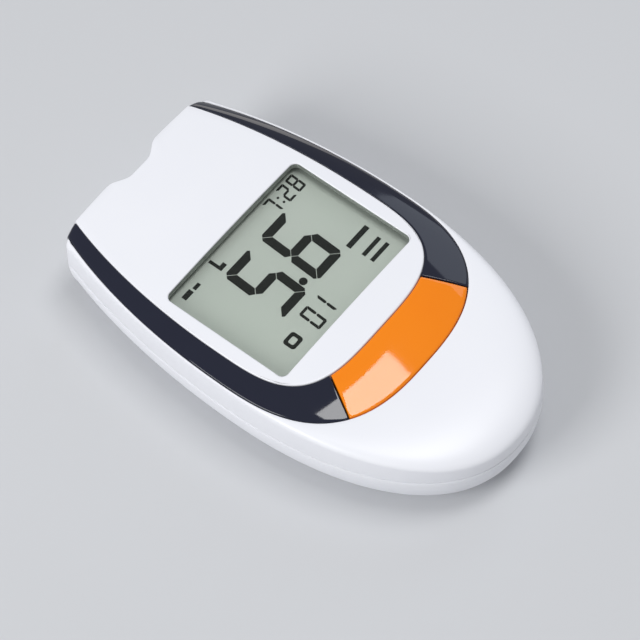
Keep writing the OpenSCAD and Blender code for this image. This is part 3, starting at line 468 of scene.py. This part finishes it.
NODE_FINISHES = {
    "battery_door": GRAINED,
    "display_lens": see_through("clear_lens", (0.985, 0.99, 0.985), 0.6),
    "front_polariser": display_ground(),
    "lcd_front_glass": see_through("front_glass", (0.985, 0.99, 0.985), 0.5),
    "lcd_rear_glass": see_through("rear_glass", (0.985, 0.99, 0.985), 0.5),
    "rear_polariser": plain("reflector_film", (0.50, 0.54, 0.50), (0.58, 0.62, 0.58),
                            roughness=0.35, spread=0.1, grain=4e-6, metallic=0.6),
    "lens_tape": BLACK,
    "lcd_seal": plain("seal_black", (0.02, 0.02, 0.02), (0.035, 0.035, 0.035)),
    "lcd_frame": plain("white_frame", (0.72, 0.72, 0.71), (0.8, 0.8, 0.79)),
    "zebra_strips": plain("striped_rubber", (0.03, 0.03, 0.03), (0.22, 0.22, 0.22), scale=3000,
                          roughness=0.7, spread=0.1, grain=8e-6, stretch=(1, 0, 0)),
    "circuit_board": board_green(),
    "microcontroller": BLACK,
    "memory_chip": BLACK,
    "buzzer": BLACK,
    "switch_body": BLACK,
    "switch_plunger": plain("grey_plunger", (0.05, 0.05, 0.055), (0.08, 0.08, 0.085)),
    "quartz_crystal": STEEL,
    "chip_parts": plain("brown_ceramic", (0.22, 0.14, 0.08), (0.36, 0.25, 0.16)),
    "strip_port": plain("pale_grey_socket", (0.55, 0.56, 0.57), (0.63, 0.64, 0.65)),
    "strip_contacts": plain("gold_plate", (0.72, 0.49, 0.17), (0.82, 0.60, 0.25), roughness=0.15,
                            grain=3e-6, metallic=1.0),
    "coin_cell": STEEL,
    "cell_contact_negative": STEEL,
    "cell_contact_positive": STEEL,
    "case_screws": plain("screw_steel", (0.42, 0.42, 0.41), (0.55, 0.55, 0.53), scale=500,
                         roughness=0.25, spread=0.15, grain=3e-6, metallic=1.0),
    "board_screws": STEEL,
}
for node, finish in NODE_FINISHES.items():
    mesh = nodes[node].data
    mesh.materials.clear()
    mesh.materials.append(finish)

# ---- Front cover ----

CASE_SCREWS = [(x * s, y) for x, y in ((16.5, 41.0), (18.0, -31.0)) for s in (-1, 1)]
BOARD_SCREWS = [(x * s, y) for x, y in ((12.5, 34.5), (11.0, -32.8)) for s in (-1, 1)]
# Bosses under the deck: radius, lower end and upper end
DECK_BITE = DECK_LOW_Z + 0.4
CASE_BOSS = (2.8, 8.05, DECK_BITE)
BOARD_BOSS = (2.2, 13.4, DECK_BITE)
# Half width of the thick end wall, and of the opening in it for the strip socket
END_WALL_W = 11.0
NOSE_W = 5.45
NOSE_TOP_Z = 17.45
# Room for the display beyond the window, across and along
DISPLAY_ROOM = (4.1, 8.2)


def fall(y):
    """How far the side's upper edge has fallen at y, towards the tip."""
    return TIP_FALL * max(0.0, (FALL_FROM_Y - y) / (FALL_FROM_Y + END_Y)) ** 2


def crown_ring(turn, inset, side_z, face_z, face_inset=0.0):
    across, up = 1 - math.cos(turn), math.sin(turn)
    ring = []
    for (x, y), (fx, fy) in zip(CASE.ring(inset), FACE.ring(face_inset)):
        z = side_z - fall(y)
        ring.append((x + (fx - x) * across, y + (fy - y) * across, z + (face_z - z) * up))
    return ring


def notch_line(steps=24):
    """Right half of the finger notch, from its bottom out to the strip end."""
    bend = NOTCH_HALF_W - NOTCH_FLAT
    depth = end_at(NOTCH_HALF_W) - NOTCH_Y
    return [(NOTCH_FLAT + bend * i / steps, NOTCH_Y + depth * (1 - math.cos(math.pi * i / steps)) / 2)
            for i in range(steps + 1)]


def notch_plug(low, high):
    line = notch_line()
    shoulder = NOTCH_HALF_W + 0.6
    return prism([(-x, y) for x, y in line[::-1]] + line
                 + [(shoulder, END_Y + 1), (-shoulder, END_Y + 1)], low, high)


def front_cover():
    side_z, rim_round, foot = RIM_Z - EDGE_R, 0.22, SEAM_ROUND
    rings = [level(CASE.ring(WALL), JOINT_Z), level(CASE.ring(foot), JOINT_Z)]
    rings += [level(CASE.ring(foot * (1 - math.sin(a))), JOINT_Z + foot * (1 - math.cos(a)))
              for a in ease(3, 1 / 3, 1)]
    rings += [crown_ring(a, DRAFT, side_z, EDGE_Z, -rim_round) for a in ease(26)]
    rings += [level(FACE.ring(-rim_round * (1 - math.sin(a))), EDGE_Z - rim_round * (1 - math.cos(a)))
              for a in ease(4, 0.25, 1)]
    rings += [level(FACE.ring(), DECK_BITE)]
    rings += [crown_ring(a, WALL + FIT_GAP / 2, side_z - 0.6, DECK_BITE) for a in ease(6)[::-1]]
    bosses = [post(x, y, *CASE_BOSS) for x, y in CASE_SCREWS]
    bosses += [post(x, y, *BOARD_BOSS) for x, y in BOARD_SCREWS]
    end_wall = block((-END_WALL_W, END_Y - 5, JOINT_Z), (END_WALL_W, END_Y - 1, DECK_Z - 0.6))
    inner_y = END_Y - 3
    inner_w, outer_w = FACE.half_at(inner_y) + 0.03, FACE.half_at(END_Y) + 0.03
    pocket_end = prism([(-inner_w, inner_y), (inner_w, inner_y), (outer_w, END_Y), (outer_w, END_Y + 1),
                        (-outer_w, END_Y + 1), (-outer_w, END_Y)], DECK_Z, CASE_H * 2)
    w, h = WINDOW[0] + DISPLAY_ROOM[0], WINDOW[1] + DISPLAY_ROOM[1]
    display_hole = block((-w / 2, WINDOW_Y - h / 2, DECK_LOW_Z - 1), (w / 2, WINDOW_Y + h / 2, CASE_H))
    nose_hole = block((-NOSE_W, END_Y - 10, JOINT_Z - 1), (NOSE_W, END_Y + 10, NOSE_TOP_Z))
    return shaped(
        sleeve("front_cover_shell", rings),
        [prism(FACE.ring(-0.3), DECK_LOW_Z, DECK_Z), end_wall, *bosses],
        [display_hole, prism(button_plan(0), DECK_LOW_Z - 1, CASE_H), pocket_end,
         notch_plug(JOINT_Z - 1, CASE_H * 2), nose_hole])


# ---- The face: bands and button share one sloping surface ----

def end_drop(away, r):
    """How far a rounded edge of radius r has dropped at this distance from its end."""
    return r - math.sqrt(max(0.0, r * r - (r - away) ** 2)) if away < r else 0.0


def round_end(r):
    """Places near a rounded end: distance from it, and drop."""
    return [(away, end_drop(away, r)) for away in [r * (1 - math.cos(a)) for a in ease(5)]]


def slope_section(outer, inner, low, drop=0.0, steps=20, outer_r=0.3, inner_r=0.18):
    """Points of a section from the face's outer side across to its inner side."""
    below_plate, bulge = 0.12, 0.45
    high = CASE_H - below_plate - inner[0] ** 2 / (2 * CROWN_R)
    width = math.dist(outer, inner)
    section = [(*outer, low)]
    places = [outer_r / width * (1 - math.cos(a)) for a in ease(5)]
    places += [outer_r / width + (1 - (outer_r + inner_r) / width) * i / steps for i in range(1, steps + 1)]
    places += [1 - inner_r / width * (1 - math.sin(a)) for a in ease(4, 0.25, 1)]
    for t in places:
        z = EDGE_Z + (high - EDGE_Z) * t * (1 + bulge - bulge * t)
        z -= end_drop(t * width, outer_r) + end_drop((1 - t) * width, inner_r)
        section.append((outer[0] + (inner[0] - outer[0]) * t, outer[1] + (inner[1] - outer[1]) * t,
                        max(z - drop, low + 0.1)))
    section.append((*inner, low))
    return section


def out_angle(gap, inset):
    return FACE.low_angle(BUTTON_OUT_W / 2 - gap, inset)


def in_angle(gap, inset):
    return PANEL.low_angle(BUTTON_IN_W / 2 - gap, inset)


def button_plan(gap, steps=40):
    return ([FACE.low_point(out_angle(gap, gap) * (2 * i / steps - 1), gap) for i in range(steps + 1)]
            + [PANEL.low_point(in_angle(gap, -gap) * (2 * i / steps - 1), -gap)
               for i in range(steps, -1, -1)])


def face_band(name, side):
    low, low_steps, high_steps, end_r = DECK_Z + FACE_GAP, 48, 36, 0.3
    out_a, in_a = out_angle(0, FIT_GAP), in_angle(0, -FIT_GAP)
    quarter = math.pi / 2
    reach = 30.0
    sections = [(away / reach, drop) for away, drop in round_end(end_r)]
    sections += [(i / low_steps, 0.0) for i in range(1, low_steps)]
    rings = [slope_section(FACE.low_point(out_a + (quarter - out_a) * t, FIT_GAP),
                           PANEL.low_point(in_a + (quarter - in_a) * t, -FIT_GAP), low, drop)
             for t, drop in sections]
    out_x, in_x = FACE.half_at(END_Y, FIT_GAP), PANEL.half_at(END_Y, -FIT_GAP)
    round_part = END_BREAK / (END_Y - WINDOW_Y)
    side_places = [((1 - round_part) * i / high_steps, 0.0) for i in range(high_steps + 1)]
    side_places += [(1 - round_part * (1 - math.sin(a)), END_BREAK * (1 - math.cos(a)))
                    for a in ease(6, 1 / 6, 1)]
    for t, drop in side_places:
        fy = FACE.wide_y + (end_at(out_x) - FACE.wide_y) * t
        py = PANEL.wide_y + (end_at(in_x) - PANEL.wide_y) * t
        rings.append(slope_section((FACE.half_at(fy, FIT_GAP), fy), (PANEL.half_at(py, -FIT_GAP), py),
                                   low, drop))
    return loft(name, [[(side * x, y, z) for x, y, z in ring] for ring in rings])


def push_button():
    low, steps, end_r, flange_z, wall_t = 16.55, 72, 0.3, 17.95, 1.4
    stem_r, stem_z = 1.6, 17.9
    out_a, in_a = out_angle(SLIDE_GAP, SLIDE_GAP), in_angle(SLIDE_GAP, -SLIDE_GAP)
    places = [(away / BUTTON_OUT_W, drop) for away, drop in round_end(end_r)]
    places += [(i / steps, 0.0) for i in range(2, steps - 1)]
    places += [(1 - t, drop) for t, drop in places[5::-1]]
    cap = loft("push_button", [
        slope_section(FACE.low_point(out_a * (2 * t - 1), SLIDE_GAP),
                      PANEL.low_point(in_a * (2 * t - 1), -SLIDE_GAP), low, drop)
        for t, drop in places])
    mid_y = (PANEL_LOW_Y + FACE_LOW_Y) / 2
    hollow = shaped(prism(button_plan(SLIDE_GAP + wall_t), low - 1, DECK_Z), (),
                    [post(0, mid_y, stem_r, stem_z, CASE_H)])
    return shaped(cap, [prism(button_plan(-FLANGE_W), low, flange_z)], [hollow])


# ---- Face panel ----

def window_ring(grow):
    w, h, r = WINDOW[0] / 2 + grow, WINDOW[1] / 2 + grow, max(WINDOW[2] + grow, 0.2)
    points = []
    for turn, (sx, sy) in enumerate(((1, 1), (-1, 1), (-1, -1), (1, -1))):
        points += [(sx * (w - r) + r * math.cos(a), sy * (h - r) + r * math.sin(a) + WINDOW_Y)
                   for a in [turn * math.pi / 2 + b for b in ease(10)]]
    return points


def panel_edge(inset):
    """Right half of the panel's plan, from its lowest place to the bottom of the notch."""
    quarter = math.pi / 2
    half = [PANEL.low_point(quarter * i / TIP_STEPS, inset) for i in range(TIP_STEPS)]
    top_y = END_Y - inset
    half += [(PANEL.half_at(y, inset), y)
             for y in [WINDOW_Y + (top_y - WINDOW_Y) * i / SIDE_STEPS for i in range(SIDE_STEPS)]]
    line = [(x + inset, y - inset) for x, y in notch_line()]
    top_x = PANEL.half_at(END_Y, inset)
    half += [(x, end_at(x) - inset) for x in [top_x + (line[-1][0] - top_x) * i / 12 for i in range(12)]]
    return half + line[::-1] + [(0.0, line[0][1])]


def whole(half):
    return half + [(-x, y) for x, y in half[-2:0:-1]]


def along_rays(points, directions):
    """Where rays from the window's middle meet a closed plan."""
    found = []
    count = len(points)
    angles = [math.atan2(y - WINDOW_Y, x) for x, y in points]
    for d in directions:
        best = None
        for i in range(count):
            a, b = angles[i], angles[(i + 1) % count]
            span = (b - a + math.pi) % (2 * math.pi) - math.pi
            part = (d - a + math.pi) % (2 * math.pi) - math.pi
            if span > 1e-12 and -1e-9 <= part <= span + 1e-9:
                (x0, y0), (x1, y1) = points[i], points[(i + 1) % count]
                c, s = math.cos(d), math.sin(d)
                y0, y1 = y0 - WINDOW_Y, y1 - WINDOW_Y
                t = (x0 * s - y0 * c) / ((x0 - x1) * s - (y0 - y1) * c)
                best = (x0 + (x1 - x0) * t, y0 + (y1 - y0) * t + WINDOW_Y)
                break
        found.append(best)
    return found


def face_plate():
    """Crowned plate round the window, with rounded edges and a skirt behind."""
    outer, window = whole(panel_edge(0.0)), window_ring(0.0)
    turns = sorted({round(math.atan2(y - WINDOW_Y, x), 5) for x, y in outer + window})
    rim = along_rays(outer, turns)
    hole = along_rays(window, turns)
    widths = [math.dist(a, b) for a, b in zip(rim, hole)]
    edge_r, hole_r, low, skirt_part = 0.35, 0.3, DECK_Z + FACE_GAP, 0.7

    def top_ring(parts, drop=0.0):
        """A ring of the crowned top. Each part runs from the rim (0) to the window (1)."""
        ring = []
        for (x0, y0), (x1, y1), t in zip(rim, hole, parts):
            x, y = x0 + (x1 - x0) * t, y0 + (y1 - y0) * t
            ring.append((x, y, CASE_H - x * x / (2 * CROWN_R) - end_drop(END_Y - y, END_BREAK) - drop))
        return ring

    rings = [level(rim, low)]
    rings += [top_ring([edge_r * (1 - math.cos(a)) / width for width in widths], edge_r * (1 - math.sin(a)))
              for a in ease(5)]
    rings += [top_ring([t] * len(rim)) for t in (0.1, 0.2, 0.32, 0.44, 0.56, 0.68, 0.8, 0.9)]
    rings += [top_ring([1 - hole_r * (1 - math.sin(a)) / width for width in widths],
                       hole_r * (1 - math.cos(a))) for a in ease(5)]
    skirt = [(x + (rx - x) * skirt_part, y + (ry - y) * skirt_part)
             for (x, y), (rx, ry) in zip(hole, rim)]
    rings += [level(hole, PLATE_Z), level(skirt, PLATE_Z), level(skirt, low)]
    return sleeve("face_plate", rings)


# ---- Display ----

FILM_Z = 19.0
SEGMENT_T = 0.06


def shown_segments():
    """The segments where the eye sees them, on the front film."""
    segments = nodes["display_segments"]
    mesh = segments.data.copy()
    piece = bpy.data.objects.new("shown_segments", mesh)
    piece.matrix_world = segments.matrix_world
    bpy.context.scene.collection.objects.link(piece)
    to_world, to_piece = segments.matrix_world, segments.matrix_world.inverted()
    middle = sum((to_world @ v.co).z for v in mesh.vertices) / len(mesh.vertices)
    for vertex in mesh.vertices:
        place = to_world @ vertex.co
        place.z = (FILM_Z + (SEGMENT_T if place.z > middle else 0)) * MM
        vertex.co = to_piece @ place
    return piece


# ---- Rear cover ----

DOOR_HALF_W = 12.45
DOOR_LOW_Y = -12.6
HINGE_Y = 16.2
HINGE_Z = 1.5
DOOR_LEDGE = 1.5
HINGE_R = 1.4
PIN_L = 0.9
PIN_R = 0.66
CELL_Y = 2.0
CUP_R = 10.25
CUP_OUT_R = 11.65
# Screw tunnels and the rooms in them: radius, lower end and upper end
TUNNEL = (3.2, 1.3, 8.0)
HEAD_ROOM = (2.3, -1.0, 5.0)
SHANK_ROOM = (1.15, 3.7, CASE_H)


def base_ring(turn, inset, low_z, high_z):
    d = 1 - math.cos(turn)
    return level(CASE.ring(inset + BASE_INSET * d, inset + BASE_END_INSET * d),
                 low_z + (high_z - low_z) * (1 - math.sin(turn)))


def rear_cover():
    rim, foot, lip_t, lip_h, lip_root = JOINT_Z - SEAM_W, SEAM_ROUND, 0.8, 1.4, 2.4
    lip_out, lip_in = WALL + FIT_GAP, WALL + FIT_GAP + lip_t
    rings = [base_ring(a, 0.0, 0.0, rim - foot) for a in ease(24)[::-1]]
    rings += [level(CASE.ring(foot * (1 - math.cos(a))), rim - foot * (1 - math.sin(a)))
              for a in ease(3, 1 / 3, 1)]
    rings += [level(CASE.ring(lip_out), rim), level(CASE.ring(lip_out), JOINT_Z + lip_h),
              level(CASE.ring(lip_in), JOINT_Z + lip_h), level(CASE.ring(lip_in), rim - lip_root + 1)]
    rings += [base_ring(a, WALL, FLOOR_T, rim - lip_root) for a in ease(12)[:-1]]
    rings += [base_ring(math.pi / 2, WALL, FLOOR_T, rim)]
    sunk = FLOOR_T / 2
    tunnels = [post(x, y, *TUNNEL) for x, y in CASE_SCREWS]
    ledge = block((-DOOR_HALF_W - DOOR_LEDGE, DOOR_LOW_Y - DOOR_LEDGE, sunk),
                  (DOOR_HALF_W + DOOR_LEDGE, HINGE_Y + DOOR_LEDGE + 1, 2.9))
    hinge_block = block((-DOOR_HALF_W - 1.3, HINGE_Y - 2, sunk), (DOOR_HALF_W + 1.3, HINGE_Y + 2, 4.0))
    cup = post(0, CELL_Y, CUP_OUT_R, sunk, 6.7)
    cuts = [
        # The door, its hinge and its pins
        block((-DOOR_HALF_W, DOOR_LOW_Y, -1), (DOOR_HALF_W, HINGE_Y + 0.8, 1.7)),
        rod(-DOOR_HALF_W, DOOR_HALF_W, HINGE_Y, HINGE_Z, HINGE_R),
        rod(-DOOR_HALF_W - PIN_L, DOOR_HALF_W + PIN_L, HINGE_Y, HINGE_Z, PIN_R),
        # The cell
        post(0, CELL_Y, CUP_R, 1.6, 5.5),
        # The front cover's thick end wall
        block((-END_WALL_W - 0.3, END_Y - 5.3, rim), (END_WALL_W + 0.3, END_Y + 5, CASE_H)),
        # The negative and the positive contact
        block((-2.3, CELL_Y - 5, 4.5), (2.3, CELL_Y + 3.4, 8.5)),
        block((-2.3, CELL_Y + 8.5, 1.9), (2.3, CELL_Y + 13.1, 9.9)),
        # Dish for a fingertip
        ball(0, DOOR_LOW_Y - 1.2, -5.9, 6.8)]
    cuts += [post(x, y, *room) for x, y in CASE_SCREWS for room in (HEAD_ROOM, SHANK_ROOM)]
    return shaped(loft("rear_cover_shell", rings), [*tunnels, ledge, hinge_block, cup], cuts)


dress(smooth(front_cover()), "case", "white_shell", WHITE, "front_cover")
dress(smooth(rear_cover()), "case", "white_shell", GRAINED, "rear_cover")
dress(smooth(face_plate(), 40), "case", "white_shell", FACE_WHITE, "face_panel")
dress(smooth(face_band("right_face_band", 1), 40), "case", "dark_band", NAVY, "right_trim")
dress(smooth(face_band("left_face_band", -1), 40), "case", "dark_band", NAVY, "left_trim")
dress(smooth(push_button(), 40), "button", "orange_button", ORANGE, "main_button")
dress(shown_segments(), "case", "display_ink", INK, "display_segments")

# ---- Camera, floor and light ----

CAMERA_AT = Vector((-0.27372, -0.25109, 0.63260))
CAMERA_UP = Vector((0.67964, 0.52092, 0.51645))
AIM = Vector((-0.0015, -0.0005, 0.012))
LENS = 190.0


def turned_to(place, target, up):
    """World matrix of a camera or lamp at place that looks at target, with up upwards."""
    back = (place - target).normalized()
    right = up.cross(back).normalized()
    over = back.cross(right)
    return Matrix.Translation(place) @ Matrix((right, over, back)).transposed().to_4x4()


def camera():
    data = bpy.data.cameras.new("camera")
    data.lens = LENS
    data.clip_start, data.clip_end = 0.01, 20.0
    made = bpy.data.objects.new("camera", data)
    made.matrix_world = turned_to(CAMERA_AT, AIM, CAMERA_UP)
    bpy.context.scene.collection.objects.link(made)
    bpy.context.scene.camera = made


def lamp(name, place, target, size, power, colour=(1, 1, 1), up=(0, 1, 0)):
    data = bpy.data.lights.new(name, "AREA")
    data.shape, data.size, data.size_y = "RECTANGLE", size[0], size[1]
    data.energy, data.color = power, colour
    made = bpy.data.objects.new(name, data)
    made.matrix_world = turned_to(Vector(place), Vector(target), Vector(up))
    bpy.context.scene.collection.objects.link(made)


def floor():
    f = Finish("pale_floor")
    cloud = f.noise(9, 3)
    paper = f.finished(f.surface(base_color=f.blend(cloud, (0.60, 0.61, 0.63), (0.62, 0.63, 0.65)),
                                 roughness=0.7 + cloud * 0.1))
    half = 3000
    sheet = mesh_object("studio_floor", [(-half, -half, 0), (half, -half, 0), (half, half, 0),
                                         (-half, half, 0)], [(0, 1, 2, 3)])
    sheet.data.materials.append(paper)


def sky(strength):
    world = bpy.data.worlds.new("studio")
    world.use_nodes = True
    backdrop = world.node_tree.nodes["Background"]
    backdrop.inputs["Color"].default_value = (0.97, 0.98, 1.0, 1)
    backdrop.inputs["Strength"].default_value = strength
    bpy.context.scene.world = world


camera()
floor()
sky(0.37)
# The button's left end mirrors the overhead softbox, and the right band mirrors the two dim ones
lamp("overhead_softbox", (0.162, -0.122, 1.0), (0.162, -0.122, 0), (0.445, 0.275), 3.2)
lamp("left_softbox", (-1.0, 0.25, 0.75), (0, 0, 0), (0.6, 0.6), 8.6)
lamp("right_softbox", (1.15, 0.2, 1.0), (0, 0, 0), (0.7, 0.7), 2.0, (0.8, 0.88, 1))
lamp("low_softbox", (1.05, 0.6, 0.17), (0, 0, 0.02), (0.8, 0.26), 1.1, (1, 0.96, 0.92), (0, 0, 1))

view_settings = bpy.context.scene.view_settings
view_settings.view_transform = "Standard"
